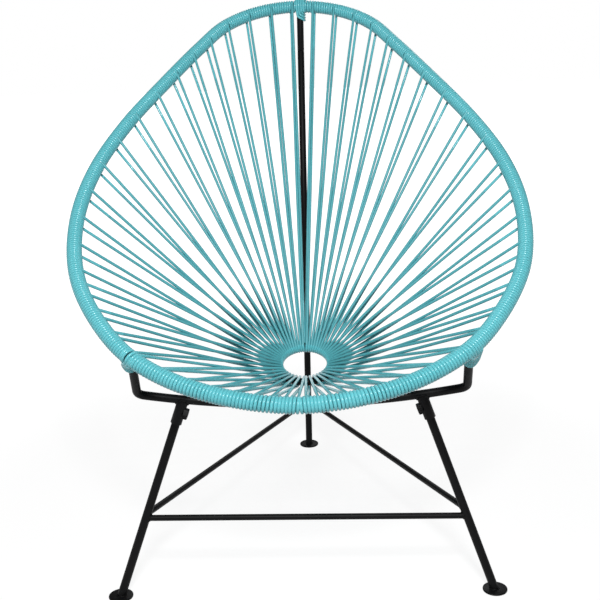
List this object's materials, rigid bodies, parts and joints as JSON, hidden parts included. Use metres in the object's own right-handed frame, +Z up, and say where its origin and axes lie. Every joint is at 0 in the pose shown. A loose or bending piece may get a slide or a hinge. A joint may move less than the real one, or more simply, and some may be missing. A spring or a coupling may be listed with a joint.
{
  "type": "acapulco chair",
  "caption": "Acapulco chair: a pear-shaped steel hoop wound with turquoise vinyl cord, strung to a small centre ring, on a black three-legged tube base with crossbar and braces",
  "frame": {"origin": "on the floor, under the middle of the hoop and of the centre ring", "axes": "+Z up, +X to the right seen from the front, the front of the seat faces -Y"},
  "size_m": [0.783, 0.8772, 0.9492],
  "materials": {
    "frame_steel": "satin",
    "bolt_steel": "satin",
    "cord_vinyl": "gloss"
  },
  "bodies": {
    "root": {"rim_hoop": "frame_steel", "centre_ring": "frame_steel", "support_bar": "frame_steel", "front_leg_left": "frame_steel", "front_leg_right": "frame_steel", "leg_socket_left": "frame_steel", "leg_socket_right": "frame_steel", "brace_left": "frame_steel", "brace_right": "frame_steel", "foot_plate_front_left": "frame_steel", "foot_plate_front_right": "frame_steel", "rear_leg": "frame_steel", "rear_leg_stub": "frame_steel", "crossbar": "frame_steel", "foot_plate_rear": "frame_steel", "socket_bolt_left": "bolt_steel", "socket_bolt_right": "bolt_steel", "top_whipping": "cord_vinyl", "corner_whipping_left": "cord_vinyl", "corner_whipping_right": "cord_vinyl", "back_cord_panel_left_1": "cord_vinyl", "back_cord_panel_left_2": "cord_vinyl", "back_cord_panel_left_3": "cord_vinyl", "back_cord_panel_left_4": "cord_vinyl", "front_cord_panel_left_1": "cord_vinyl", "front_cord_panel_left_2": "cord_vinyl", "back_cord_panel_right_1": "cord_vinyl", "back_cord_panel_right_2": "cord_vinyl", "back_cord_panel_right_3": "cord_vinyl", "back_cord_panel_right_4": "cord_vinyl", "front_cord_panel_right_1": "cord_vinyl", "front_cord_panel_right_2": "cord_vinyl"}
  },
  "joints": []
}
